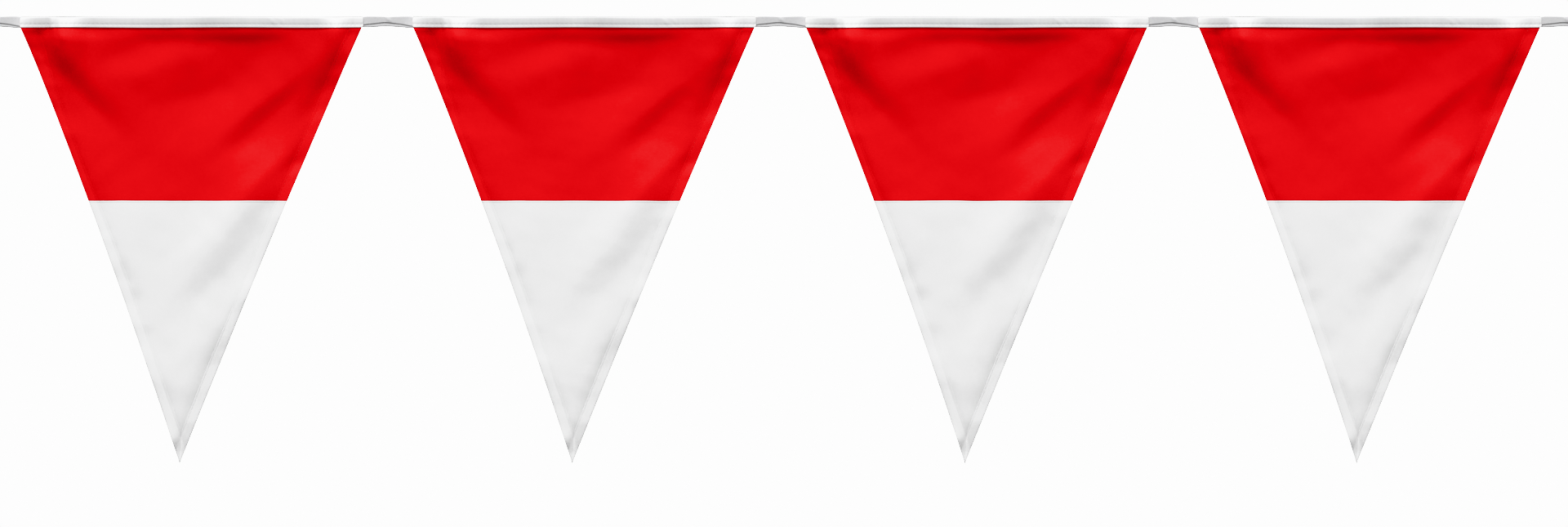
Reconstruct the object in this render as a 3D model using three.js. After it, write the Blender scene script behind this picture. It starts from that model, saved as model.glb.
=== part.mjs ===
// A string of bunting: four hemmed triangular flags in folded headings on one folded tape.
// Millimetres, +Z up. The flags' fronts face -Y. The origin is the middle of the string's top edge.
import * as THREE from "three";

// The string
const PITCH = 263.2;
const TAIL = 30;

// The stack of layers in a heading, front to back: front leg, flag, tape, back leg
const GAP = 0.3;
const LEG = 1;
const FLAG_SHEET = 1.2;
const TAPE_SHEET = 1.1;
const STACK = 2 * LEG + FLAG_SHEET + TAPE_SHEET + 3 * GAP;
const FLAG_Y = -STACK / 2 + LEG + GAP + FLAG_SHEET / 2;
const TAPE_Y = STACK / 2 - LEG - GAP - TAPE_SHEET / 2;

// A heading
const HEADING_LENGTH = 230;
const HEADING_HEIGHT = 7.5;
const HEADING_ROUND = 1.8;
const HEADING_ARC = 4;
const HEADING_CORNER = 1.2;
const HEADING_STEPS = 8;
const HEADING_WAVE = 0.15;
const HEADING_WAVE_LENGTH = 107;

// A flag, with downward sizes taken from the heading's top edge
const FLAG_DROP = 300;
const TUCK_TOP = 3;
const TUCK_END = 8.2;
const LEFT_CORNER = -114.8;
const RIGHT_CORNER = 114.1;
const LEFT_BOW = 3.4;
const RIGHT_BOW = 1.4;
const LEFT_PEAK = 0.88;
const RIGHT_PEAK = 0.88;
const BOW_POWER = 0.8;
const FOLDS_FULL = 17;
const LATTICE = 30;
const HEM_WIDTH = 7.6;
const HEM_STEP = 1;
const HEM_EXTRA = 0.8;
const HEM_FULL = 16;
const HEM_LINES = 2;

// The cloths. A flag is printed red down to its middle and white below; its solid shows the red.
const FLAG_CLOTH = { color: 0xe3070f, roughness: 0.6 };
const HEADING_CLOTH = { color: 0xebebeb, roughness: 0.45 };
const TAPE_CLOTH = { color: 0xdadadc, roughness: 0.65 };

// Each flag hangs a little differently: where its tip is, how deep its folds are and how far they are
// moved sideways, and where its heading's waves start, in radians.
const FLAGS = [
  { tip: -8.4, depth: 1.0, shift: 0, phase: 0 },
  { tip: -8.3, depth: 0.94, shift: 1.2, phase: 2 },
  { tip: -8.1, depth: 1.05, shift: -0.8, phase: 4 },
  { tip: -8.6, depth: 0.98, shift: 0.6, phase: 6 },
];

// A fold keeps this share of its rise at its ends.
const FOLD_ENDS = 0.1;

// Soft folds of a flag: a line across it, how far it stands out, and its half widths on the left and
// right hand when walked from the first point to the second. x is from the heading's middle and d is
// down from the heading's top. A trough has a negative rise.
const FOLDS = [
  { name: "left corner ridge", x1: -135, d1: -33, x2: -26, d2: 83, left: 30, right: 12, rise: 1.0 },
  { name: "left corner trough", x1: -123, d1: 4, x2: -38, d2: 93.5, left: 10.5, right: 34, rise: -4.6 },
  { name: "heading lip", x1: -95, d1: 14, x2: -46, d2: 14, left: 6, right: 12, rise: 0.8 },
  { name: "heading dip", x1: -80, d1: 38, x2: 10, d2: 9, left: 10, right: 11, rise: -1.5 },
  { name: "heading hollow", x1: -45, d1: 21, x2: 80, d2: 22, left: 10, right: 30, rise: -2.8 },
  { name: "right hollow", x1: -15, d1: 74, x2: 85, d2: 9, left: 22, right: 42, rise: -3.3 },
  { name: "swag ridge", x1: -65, d1: 44, x2: 30, d2: 18, left: 14, right: 10, rise: 1.2 },
  { name: "swag trough", x1: -50, d1: 68, x2: 72, d2: 43, left: 13, right: 28, rise: -2.7 },
  { name: "diagonal ridge", x1: 96, d1: 19, x2: 6, d2: 87, left: 7.5, right: 16, rise: 2.1 },
  { name: "diagonal trough", x1: 76, d1: 50, x2: 8, d2: 106, left: 12, right: 8, rise: -2.2 },
  { name: "right hem trough", x1: 110, d1: 13, x2: 66, d2: 88, left: 12, right: 8, rise: -4.0 },
  { name: "bulge", x1: 80, d1: 76, x2: 16, d2: 145, left: 26, right: 9.3, rise: 3.7 },
  { name: "bulge crease", x1: 90, d1: 82, x2: 48, d2: 116, left: 5, right: 5, rise: -0.9 },
  { name: "left swell", x1: -75, d1: 118, x2: 0, d2: 150, left: 28, right: 90, rise: 2.0 },
  { name: "long ridge", x1: 58, d1: 99, x2: -26, d2: 194, left: 13, right: 14, rise: 1.7 },
  { name: "long trough", x1: 56, d1: 133, x2: -20, d2: 224, left: 16, right: 13, rise: -2.4 },
  { name: "middle ridge", x1: 39, d1: 122, x2: -11, d2: 214, left: 12, right: 16, rise: 1.7 },
  { name: "lower ridge", x1: 30, d1: 156, x2: -11, d2: 246, left: 9, right: 8, rise: 1.2 },
  { name: "tip trough", x1: -46, d1: 264, x2: 30, d2: 264, left: 17, right: 36, rise: -1.4 },
];

// How far a flag's cloth stands forward just below its heading, at x from the heading's middle. Further
// down it comes back to its folds, and at this way down little of it is left.
const LEANS = [
  { x: -114, lean: 3.0 },
  { x: -107, lean: 0.0 },
  { x: -98, lean: -1.2 },
  { x: -91, lean: 3.0 },
  { x: -83, lean: 4.6 },
  { x: -75, lean: 2.0 },
  { x: -68, lean: -0.4 },
  { x: -56, lean: 0.0 },
  { x: 0, lean: -0.5 },
  { x: 11, lean: -1.4 },
  { x: 30, lean: -0.6 },
  { x: 60, lean: 0.2 },
  { x: 84, lean: 0.2 },
  { x: 96, lean: 4.4 },
  { x: 107, lean: 1.4 },
  { x: 114, lean: 1.8 },
];
const LEAN_FADES = 48;

// The tape's section at places between two headings. at is the share of the way from left to right.
// top is its height, front and back are its two lower edges, open is how far the legs stand apart.
const TAPE_BETWEEN = [
  { at: 0.12, top: 0.0, front: -5.3, back: -7.4, open: 0.6 },
  { at: 0.32, top: 0.0, front: -4.5, back: -7.0, open: 0.8 },
  { at: 0.5, top: -0.3, front: -4.1, back: -6.8, open: 1.0 },
  { at: 0.7, top: -0.1, front: -5.0, back: -7.3, open: 0.9 },
  { at: 0.88, top: 0.0, front: -6.1, back: -7.8, open: 0.7 },
];
// Inside a heading the tape lies flat and closed, and so do its two cut ends.
const TAPE_CLOSED = { top: -2.1, front: -7.1, back: -7.1, open: 0 };
const TAPE_END = { top: -0.6, front: -6.6, back: -6.6, open: 0 };
const TAPE_END_LENGTH = 14;
const TAIL_ROWS = 2;
const TAPE_LEG = 0.9;
const TAPE_SHOULDER = 0.8;
const TAPE_FOLD = 1.2;
const SLIT_WIDTH = 0.35;
const SLIT_DEPTH = 0.6;
// Of the way that the legs stand apart, the back leg takes this share and the front leg all of it.
const BACK_SHARE = 1 / 3;

const smooth = (value, from, to) => THREE.MathUtils.smoothstep(value, from, to);
const headingMiddle = (index) => (index - (FLAGS.length - 1) / 2) * PITCH;

// How far one fold stands out at x, d: a soft ridge or trough along its line, lower towards its ends.
function foldRise(fold, x, d) {
  const length = Math.hypot(fold.x2 - fold.x1, fold.d2 - fold.d1);
  const along = new THREE.Vector2(fold.x2 - fold.x1, fold.d1 - fold.d2).divideScalar(length);
  const from = new THREE.Vector2(x - fold.x1, fold.d1 - d);
  const share = from.dot(along) / length;
  const inside = THREE.MathUtils.clamp(share, 0, 1);
  const past = (share - inside) * length;
  const aside = along.cross(from);
  const fade = THREE.MathUtils.lerp(FOLD_ENDS, 1, Math.sin(Math.PI * inside) ** 2);
  const width = aside > 0 ? fold.left : fold.right;
  const endWidth = (fold.left + fold.right) / 2;
  return fold.rise * fade * Math.exp(-((aside / width) ** 2) - (past / endWidth) ** 2);
}

// How far a flag's cloth leans forward at x, d, read between the rows of LEANS
function leanAt(x, d) {
  const next = LEANS.findIndex((row) => row.x > x);
  const fade = Math.exp(-(((d - HEADING_HEIGHT) / LEAN_FADES) ** 2));
  if (next === 0) return LEANS[0].lean * fade;
  if (next < 0) return LEANS.at(-1).lean * fade;
  const [before, after] = [LEANS[next - 1], LEANS[next]];
  return THREE.MathUtils.mapLinear(x, before.x, after.x, before.lean, after.lean) * fade;
}

// The whole relief of one flag at x, d. It starts flat where the flag leaves its heading.
function relief(flag, x, d) {
  const sum = FOLDS.reduce((total, fold) => total + foldRise(fold, x - flag.shift, d), 0);
  return (sum * flag.depth + leanAt(x, d)) * smooth(d, TUCK_END, FOLDS_FULL);
}

// A flag's two sloping sides, drawn in a little between the heading and the tip
function sides(flag, d) {
  const share = Math.max(0, (d - HEADING_HEIGHT) / (FLAG_DROP - HEADING_HEIGHT));
  const bow = (deep, peak) => deep * Math.max(0, Math.sin(Math.PI * share ** peak)) ** BOW_POWER;
  return {
    left: THREE.MathUtils.lerp(LEFT_CORNER, flag.tip, share) + bow(LEFT_BOW, LEFT_PEAK),
    right: THREE.MathUtils.lerp(RIGHT_CORNER, flag.tip, share) - bow(RIGHT_BOW, RIGHT_PEAK),
  };
}

// Share of the flag's width at a lattice line counted from one side. The first lines are the edge, the
// hem's inner edge and the foot of its step, the last lines mirror them, and the rest lie evenly between.
function latticeShare(line) {
  const width = RIGHT_CORNER - LEFT_CORNER;
  const nearEdge = [0, HEM_WIDTH / width, (HEM_WIDTH + HEM_STEP) / width];
  const last = nearEdge.length - 1;
  if (line <= last) return nearEdge[line];
  if (LATTICE - line <= last) return 1 - nearEdge[LATTICE - line];
  return THREE.MathUtils.mapLinear(line, last, LATTICE - last, nearEdge[last], 1 - nearEdge[last]);
}

// A flag's points, keyed by lattice place. i counts lines from the left side, j from the right side,
// so the tip is 0,0. Each knows its x, its way down d, its rise and the hem's extra thickness there.
function flagPoints(flag) {
  const points = new Map();
  for (let i = 0; i <= LATTICE; i++) {
    for (let j = 0; j <= LATTICE - i; j++) {
      const [fromLeft, fromRight] = [latticeShare(i), latticeShare(j)];
      const d = THREE.MathUtils.lerp(FLAG_DROP, TUCK_END, fromLeft + fromRight);
      const across = i + j === 0 ? 0.5 : fromLeft / (fromLeft + fromRight);
      const side = sides(flag, d);
      const x = THREE.MathUtils.lerp(side.left, side.right, across);
      const hem = Math.min(i, j) < HEM_LINES ? HEM_EXTRA * smooth(d, TUCK_END, HEM_FULL) : 0;
      points.set(`${i},${j}`, { x, d, rise: relief(flag, x, d), hem });
    }
  }
  for (let i = 0; i <= LATTICE; i++) {
    const below = points.get(`${i},${LATTICE - i}`);
    points.set(`tuck${i}`, { x: below.x, d: TUCK_TOP, rise: 0, hem: 0 });
  }
  return points;
}

// The triangles of the lattice and of the tuck above it, and the loop of points round the edge
function flagFaces(keys) {
  const order = new Map(keys.map((key, n) => [key, n]));
  const at = (i, j) => order.get(`${i},${j}`);
  const tuck = (i) => order.get(`tuck${i}`);
  const faces = [];
  for (let i = 0; i < LATTICE; i++) {
    for (let j = 0; j < LATTICE - i; j++) {
      faces.push([at(i, j), at(i + 1, j), at(i, j + 1)]);
      if (i + j < LATTICE - 1) faces.push([at(i + 1, j), at(i + 1, j + 1), at(i, j + 1)]);
    }
  }
  for (let i = 0; i < LATTICE; i++) {
    const [left, right] = [at(i, LATTICE - i), at(i + 1, LATTICE - i - 1)];
    faces.push([left, right, tuck(i + 1)], [left, tuck(i + 1), tuck(i)]);
  }
  const lines = [...Array(LATTICE).keys()];
  const edge = [
    ...lines.map((i) => at(i, 0)),
    at(LATTICE, 0),
    ...lines.map((i) => tuck(LATTICE - i)),
    tuck(0),
    ...lines.map((j) => at(0, LATTICE - j)),
  ];
  return { faces, edge };
}

// A closed sheet: the front points, the back points and a wall round the edge
function flagGeometry(flag) {
  const points = flagPoints(flag);
  const { faces, edge } = flagFaces([...points.keys()]);
  const places = [...points.values()];
  const half = FLAG_SHEET / 2;
  const front = places.map((p) => [p.x, FLAG_Y - p.rise - half - p.hem, -p.d]);
  const back = places.map((p) => [p.x, FLAG_Y - p.rise + half, -p.d]);
  const behind = places.length;
  const backs = faces.map(([a, b, c]) => [behind + a, behind + c, behind + b]);
  const walls = edge.flatMap((a, k) => {
    const b = edge[(k + 1) % edge.length];
    return [[a, behind + b, b], [a, behind + a, behind + b]];
  });
  return geometryOf([...front, ...back], [...faces, ...backs, ...walls]);
}

function geometryOf(positions, triangles) {
  const geometry = new THREE.BufferGeometry();
  geometry.setAttribute("position", new THREE.Float32BufferAttribute(positions.flat(), 3));
  geometry.setIndex(triangles.flat());
  geometry.computeVertexNormals();
  return geometry;
}

function capFaces(ring) {
  const outline = ring.map(([y, z]) => new THREE.Vector2(y, z));
  return THREE.ShapeUtils.triangulateShape(outline, []);
}

// A closed solid through rings of y, z points at stations along x, all rings with as many points
function loft(stations) {
  const count = stations[0].ring.length;
  const positions = stations.flatMap(({ x, ring }) => ring.map(([y, z]) => [x, y, z]));
  const triangles = [];
  for (let station = 0; station < stations.length - 1; station++) {
    for (let k = 0; k < count; k++) {
      const a = station * count + k;
      const b = station * count + ((k + 1) % count);
      triangles.push([a, b, b + count], [a, b + count, a + count]);
    }
  }
  const last = (stations.length - 1) * count;
  triangles.push(...capFaces(stations[0].ring).map(([a, b, c]) => [a, c, b]));
  triangles.push(...capFaces(stations.at(-1).ring).map(([a, b, c]) => [last + a, last + b, last + c]));
  return geometryOf(positions, triangles);
}

// A heading's section: a strip folded over the tape and the flag's top edge, open downwards
function headingRing(top, bottom) {
  const outer = STACK / 2;
  const inner = outer - LEG;
  const fold = top - HEADING_ROUND;
  const path = new THREE.Path();
  path.moveTo(outer, bottom);
  path.absellipse(0, fold, outer, HEADING_ROUND, 0, Math.PI, false, 0);
  path.lineTo(-outer, bottom);
  path.lineTo(-inner, bottom);
  path.absellipse(0, fold, inner, HEADING_ROUND - LEG, Math.PI, 0, true, 0);
  path.lineTo(inner, bottom);
  return path.getPoints(HEADING_ARC).map((point) => [point.x, point.y]);
}

// The heading is a little uneven along its length, and its corners are cut off a little at both ends.
function headingGeometry(phase) {
  const end = HEADING_LENGTH / 2;
  const inner = [...Array(HEADING_STEPS - 1).keys()].map((k) => end * ((2 * (k + 1)) / HEADING_STEPS - 1));
  const places = [-end, HEADING_CORNER - end, ...inner, end - HEADING_CORNER, end];
  const stations = places.map((x) => {
    const wave = HEADING_WAVE * Math.sin((2 * Math.PI * x) / HEADING_WAVE_LENGTH + phase);
    const corner = Math.abs(x) === end ? HEADING_CORNER / 2 : 0;
    const top = wave - HEADING_WAVE - corner / 2;
    const bottom = wave - HEADING_HEIGHT + corner;
    return { x, ring: headingRing(top, bottom) };
  });
  return loft(stations);
}

// The tape's section: two legs under one fold. With open at 0 only a shallow slit parts them.
function tapeRing({ top, front, back, open }) {
  const half = TAPE_SHEET / 2;
  const leg = Math.min(TAPE_LEG, (TAPE_SHEET - SLIT_WIDTH + open) / 2);
  const foreY = TAPE_Y - half - open;
  const foldY = TAPE_Y - BACK_SHARE * open;
  const backY = TAPE_Y + half + BACK_SHARE * open;
  const slitTop = open > 0 ? Math.min(top - TAPE_FOLD, front) : front + SLIT_DEPTH;
  return [
    [foreY, front],
    [foreY + leg, front],
    [foldY, slitTop],
    [backY - leg, back],
    [backY, back],
    [backY, top - TAPE_SHOULDER],
    [foldY, top],
    [foreY, top - TAPE_SHOULDER],
  ];
}

// The tape from end to end: a flat cut end, the stretches that show, and flat through each heading.
// A tail repeats the rows of TAPE_BETWEEN next to its heading.
function tapeGeometry() {
  const stations = [];
  const put = (x, section) => stations.push({ x, ring: tapeRing(section) });
  const between = PITCH - HEADING_LENGTH;
  const starts = FLAGS.map((flag, n) => headingMiddle(n) - HEADING_LENGTH / 2);
  const leftEnd = starts[0] - TAIL;
  const rightEnd = starts.at(-1) + HEADING_LENGTH + TAIL;
  put(leftEnd, TAPE_END);
  put(leftEnd + TAPE_END_LENGTH, TAPE_END);
  TAPE_BETWEEN.slice(-TAIL_ROWS).forEach((row) => put(starts[0] - (1 - row.at) * between, row));
  for (const start of starts) {
    const end = start + HEADING_LENGTH;
    put(start - GAP, TAPE_CLOSED);
    put(end + GAP, TAPE_CLOSED);
    const rows = start === starts.at(-1) ? TAPE_BETWEEN.slice(0, TAIL_ROWS) : TAPE_BETWEEN;
    rows.forEach((row) => put(end + row.at * between, row));
  }
  put(rightEnd - TAPE_END_LENGTH, TAPE_END);
  put(rightEnd, TAPE_END);
  return loft(stations);
}

function named(name, geometry, { color, roughness }) {
  const mesh = new THREE.Mesh(geometry, new THREE.MeshStandardMaterial({ color, roughness, metalness: 0 }));
  mesh.name = name;
  return mesh;
}

const bunting = new THREE.Group();
bunting.name = "bunting";
FLAGS.forEach((flag, n) => {
  const pennant = new THREE.Group();
  pennant.name = `pennant_${n + 1}`;
  pennant.position.x = headingMiddle(n);
  pennant.add(named(`flag_${n + 1}`, flagGeometry(flag), FLAG_CLOTH));
  pennant.add(named(`heading_${n + 1}`, headingGeometry(flag.phase), HEADING_CLOTH));
  bunting.add(pennant);
});
bunting.add(named("tape", tapeGeometry(), TAPE_CLOTH));

export default bunting;
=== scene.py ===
import math

import bpy
import numpy as np
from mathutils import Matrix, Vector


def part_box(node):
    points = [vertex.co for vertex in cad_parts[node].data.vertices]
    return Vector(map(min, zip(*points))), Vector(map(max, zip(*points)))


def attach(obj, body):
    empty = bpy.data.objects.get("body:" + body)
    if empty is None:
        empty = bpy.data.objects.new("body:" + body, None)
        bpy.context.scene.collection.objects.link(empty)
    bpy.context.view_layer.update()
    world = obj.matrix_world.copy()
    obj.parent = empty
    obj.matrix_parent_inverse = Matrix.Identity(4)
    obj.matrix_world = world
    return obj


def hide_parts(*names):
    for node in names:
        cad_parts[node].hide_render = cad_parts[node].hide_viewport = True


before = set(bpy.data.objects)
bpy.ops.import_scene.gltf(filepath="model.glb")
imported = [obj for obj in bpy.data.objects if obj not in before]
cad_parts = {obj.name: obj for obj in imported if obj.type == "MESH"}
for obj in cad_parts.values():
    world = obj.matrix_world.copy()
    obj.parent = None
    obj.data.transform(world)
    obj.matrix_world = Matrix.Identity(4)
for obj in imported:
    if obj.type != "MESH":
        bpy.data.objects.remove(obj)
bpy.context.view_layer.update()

MM = 0.001
FLAGS = 4

# The parts' places, taken from the solids in model.glb
FLAG_LOW, FLAG_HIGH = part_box("flag_1")
HEADING_LOW, HEADING_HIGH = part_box("heading_1")
DROP = -FLAG_LOW[2] / MM
TUCK_TOP = -FLAG_HIGH[2] / MM
HEADING_LENGTH = (HEADING_HIGH[0] - HEADING_LOW[0]) / MM
HEADING_HEIGHT = 7.5
TAPE_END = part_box("tape")[1][0] / MM

# The cloths' thickness and where their middles lie, front to back. The layers are sewn tight.
FLAG_SHEET = 0.14
HEADING_SHEET = 0.24
TAPE_SHEET = 0.26
FLAG_Y = -0.7

# A flag's outline: its corners under the heading, and how far each side bows inwards and where. It is
# flat in its tuck and has its full folds from FOLDS_FULL down.
LEFT_CORNER = -114.8
RIGHT_CORNER = 114.1
LEFT_BOW = 3.4
RIGHT_BOW = 1.4
LEFT_PEAK = 0.88
RIGHT_PEAK = 0.88
BOW_POWER = 0.8
TUCK_END = 8.2
FOLDS_FULL = 17.0

# A flag's side hems, turned twice to the front. Their widths are square to the edge, at places down it.
LEFT_HEM = (
    dict(d=8, width=10.3), dict(d=20, width=9.7), dict(d=30, width=8.5), dict(d=45, width=7.0),
    dict(d=60, width=6.0), dict(d=80, width=5.3), dict(d=105, width=5.3), dict(d=125, width=6.2),
    dict(d=145, width=6.7), dict(d=180, width=7.2), dict(d=225, width=7.3), dict(d=300, width=7.4),
)
RIGHT_HEM = (
    dict(d=8, width=7.6), dict(d=30, width=8.0), dict(d=50, width=7.6), dict(d=80, width=7.1),
    dict(d=120, width=7.0), dict(d=165, width=6.3), dict(d=200, width=6.4), dict(d=225, width=7.0),
    dict(d=300, width=6.6),
)
HEM_LAYER = 0.17

# A hem's seam runs this far from its raw edge and pulls the cloth back in a valley, which fades inwards
# and outwards. The hem thins to a share of its thickness near its raw edge.
HEM_SEAM = 0.9
LEFT_VALLEY = 2.0
RIGHT_VALLEY = 1.2
VALLEY_INWARDS = 3.8
VALLEY_OUTWARDS = 10.0
HEM_SEAM_DIP = 0.02
HEM_TAPER = 0.45
HEM_TAPER_REACH = 0.25

# Inside the heading a hem layer is pressed to a share of its thickness, and so it is in the narrow tip.
PRESSED_LAYER = 0.3
PRESSED_ABOVE = 1.5
TIP_FULLNESS = 1.2

# The very edge rolls back. The right edge also curls forward, between the places down it where the curl
# starts, is full, starts to fade and is gone.
EDGE_ROLL = 0.6
EDGE_ROLL_REACH = 0.6
RIGHT_CURL = 1.6
CURL_REACH = 3.5
CURL_ENDS = (12.0, 30.0, 115.0, 165.0)

# The slit between the two hems at the tip: its width, how much wider it opens, and between which
# heights above the tip
TIP_SLIT = 0.3
TIP_OPENS_BY = 0.9
TIP_OPENS = (12.0, 3.0)
TIP_BLUNT = 0.4

# A flag's grid: rows down the flag, columns across the cloth and across a hem's front and hidden layer,
# and the angles in degrees of the columns round a fold. Insets are in layer thicknesses.
ROW_STEP = 1.7
COLUMNS = 136
HEM_PLACES = (0.04, 0.09, 0.15, 0.24, 0.38, 0.56, 0.7, 0.8, 0.87, 0.94)
HIDDEN_PLACES = (0, 0.5, 0.97)
HIDDEN_INSET = 1.6
HIDDEN_SHORTER = 2.4
CLOTH_INSET = 0.9
HEM_TURN = (30, 90, 150)

# Stitches: their size along a seam, and the thread's thickness, its share of it at a stitch's ends, how
# high it arches and how deep it is sunk, and its mesh's rings and points round each
STITCH_PITCH = 3.0
STITCH_LENGTH = 1.9
STITCH_GAP = STITCH_PITCH - STITCH_LENGTH
THREAD = 0.2
THREAD_ENDS = 0.45
THREAD_ARCH = 0.5
THREAD_SUNK = 0.3
THREAD_RINGS = 5
THREAD_AROUND = 6

# Where the hems' seams start below the heading and stop above the tip, where the heading's seam runs,
# and the dents that its needle leaves
HEM_SEAM_START = 1.5
HEM_SEAM_STOP = 27
HEADING_SEAM = 5.5
HEADING_SEAM_START = 1.5
NEEDLE_HOLE = 0.22
NEEDLE_REACH = 0.5

# Each flag hangs a little differently: its tip, the depth of its folds and how far they are moved.
FLAG_ROWS = (
    dict(tip=-8.4, depth=1.0, shift=0.0, phase=0.0),
    dict(tip=-8.3, depth=0.94, shift=1.2, phase=2.0),
    dict(tip=-8.1, depth=1.05, shift=-0.8, phase=4.0),
    dict(tip=-8.6, depth=0.98, shift=0.6, phase=6.0),
)

# Soft folds as in the solids: a line from x1, d1 to x2, d2, the half widths on its left and right hand
# when walked from the first point to the second, and its rise
FOLDS = (
    dict(name="left corner ridge", x1=-135, d1=-33, x2=-26, d2=83, left=30, right=12, rise=1.0),
    dict(name="left corner trough", x1=-123, d1=4, x2=-38, d2=93.5, left=10.5, right=34, rise=-4.6),
    dict(name="heading lip", x1=-95, d1=14, x2=-46, d2=14, left=6, right=12, rise=0.8),
    dict(name="heading dip", x1=-80, d1=38, x2=10, d2=9, left=10, right=11, rise=-1.5),
    dict(name="heading hollow", x1=-45, d1=21, x2=80, d2=22, left=10, right=30, rise=-2.8),
    dict(name="right hollow", x1=-15, d1=74, x2=85, d2=9, left=22, right=42, rise=-3.3),
    dict(name="swag ridge", x1=-65, d1=44, x2=30, d2=18, left=14, right=10, rise=1.2),
    dict(name="swag trough", x1=-50, d1=68, x2=72, d2=43, left=13, right=28, rise=-2.7),
    dict(name="diagonal ridge", x1=96, d1=19, x2=6, d2=87, left=7.5, right=16, rise=2.1),
    dict(name="diagonal trough", x1=76, d1=50, x2=8, d2=106, left=12, right=8, rise=-2.2),
    dict(name="right hem trough", x1=110, d1=13, x2=66, d2=88, left=12, right=8, rise=-4.0),
    dict(name="bulge", x1=80, d1=76, x2=16, d2=145, left=26, right=9.3, rise=3.7),
    dict(name="bulge crease", x1=90, d1=82, x2=48, d2=116, left=5, right=5, rise=-0.9),
    dict(name="left swell", x1=-75, d1=118, x2=0, d2=150, left=28, right=90, rise=2.0),
    dict(name="long ridge", x1=58, d1=99, x2=-26, d2=194, left=13, right=14, rise=1.7),
    dict(name="long trough", x1=56, d1=133, x2=-20, d2=224, left=16, right=13, rise=-2.4),
    dict(name="middle ridge", x1=39, d1=122, x2=-11, d2=214, left=12, right=16, rise=1.7),
    dict(name="lower ridge", x1=30, d1=156, x2=-11, d2=246, left=9, right=8, rise=1.2),
    dict(name="tip trough", x1=-46, d1=264, x2=30, d2=264, left=17, right=36, rise=-1.4),
)

# Fine folds that only the render has: crumples at the left corner, lips below the heading, a crease
# above the bulge and the pulls along the left hem
FINE_FOLDS = (
    dict(name="first crumple", x1=-91, d1=13.5, x2=-82, d2=12, left=2.5, right=4, rise=0.9),
    dict(name="second crumple", x1=-88, d1=19, x2=-93, d2=22, left=2, right=2, rise=0.4),
    dict(name="right lip", x1=50, d1=19, x2=92, d2=17, left=9, right=16, rise=0.6),
    dict(name="middle lip", x1=-8, d1=27, x2=8, d2=27, left=12, right=12, rise=0.5),
    dict(name="upper crease", x1=58, d1=72, x2=20, d2=97, left=7, right=6, rise=-0.75),
    dict(name="first pull", x1=-63, d1=117, x2=-54, d2=142, left=5, right=5, rise=-0.4),
    dict(name="second pull", x1=-48, d1=160, x2=-40, d2=182, left=5.5, right=5.5, rise=-0.45),
    dict(name="third pull", x1=-39, d1=181, x2=-32, d2=198, left=5, right=5, rise=-0.25),
    dict(name="fourth pull", x1=-29, d1=204, x2=-20, d2=230, left=5.5, right=5.5, rise=-0.45),
)

# A fold keeps this share of its rise at its ends.
FOLD_ENDS = 0.1

# Faint waves all over the cloth: how many, their lengths and how steep each is
WAVE_SEED = 5
WAVES = 30
WAVE_LENGTHS = (15.0, 50.0)
WAVE_SLOPE = 0.0008

# Puckers down the two hems: how steeply the cloth comes forward on the way down to each place, from
# the place before. It puffs out slowly and drops back at once.
LEFT_PUCKERS = (
    dict(to=8, slope=0), dict(to=10, slope=0.07), dict(to=16, slope=0.19),
    dict(to=18, slope=0.05), dict(to=21.5, slope=-0.17), dict(to=28, slope=0.14),
    dict(to=30, slope=0), dict(to=32.5, slope=-0.13), dict(to=34, slope=0.02),
    dict(to=42, slope=0.06), dict(to=46, slope=0.1), dict(to=50, slope=-0.11),
    dict(to=56, slope=0.03), dict(to=63, slope=-0.1), dict(to=66, slope=0.0),
    dict(to=78.5, slope=0.08), dict(to=80, slope=-0.05), dict(to=84, slope=-0.14),
    dict(to=92, slope=-0.08), dict(to=100, slope=-0.08), dict(to=106, slope=0.01),
    dict(to=110, slope=0.07), dict(to=119, slope=-0.01), dict(to=128, slope=0.02),
    dict(to=144, slope=-0.03), dict(to=149, slope=0.05), dict(to=155, slope=-0.02),
    dict(to=166, slope=0.03), dict(to=170, slope=-0.02), dict(to=177, slope=-0.1),
    dict(to=182, slope=0.03), dict(to=193, slope=0.01), dict(to=206, slope=0.1),
    dict(to=212, slope=-0.04), dict(to=222, slope=0.01), dict(to=231, slope=0.09),
    dict(to=242, slope=-0.03), dict(to=250, slope=-0.09), dict(to=272, slope=-0.04),
    dict(to=276, slope=0.03), dict(to=284, slope=0.12), dict(to=292, slope=-0.1),
)
RIGHT_PUCKERS = (
    dict(to=8, slope=0), dict(to=10, slope=0.1), dict(to=16, slope=0.15),
    dict(to=22, slope=0.03), dict(to=25, slope=-0.03), dict(to=32, slope=-0.12),
    dict(to=34, slope=-0.03), dict(to=39.5, slope=0.09), dict(to=41, slope=-0.07),
    dict(to=48, slope=-0.15), dict(to=55, slope=-0.01), dict(to=62, slope=-0.13),
    dict(to=65, slope=0), dict(to=71, slope=0.05), dict(to=77, slope=-0.08),
    dict(to=90, slope=-0.02), dict(to=94, slope=-0.05), dict(to=98, slope=-0.11),
    dict(to=107, slope=0.16), dict(to=110, slope=0.02), dict(to=121, slope=0.15),
    dict(to=125, slope=0.13), dict(to=134, slope=0.14), dict(to=142, slope=-0.01),
    dict(to=150, slope=0.02), dict(to=175, slope=-0.03), dict(to=182, slope=0.05),
    dict(to=189, slope=-0.05), dict(to=199, slope=-0.18), dict(to=216, slope=-0.1),
    dict(to=223, slope=-0.14), dict(to=233, slope=-0.05), dict(to=250, slope=0.05),
    dict(to=272, slope=0.02), dict(to=284, slope=-0.13), dict(to=292, slope=-0.05),
)
PUCKER_SOFT = 1.2
PUCKER_REACH = 9.0

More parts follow.
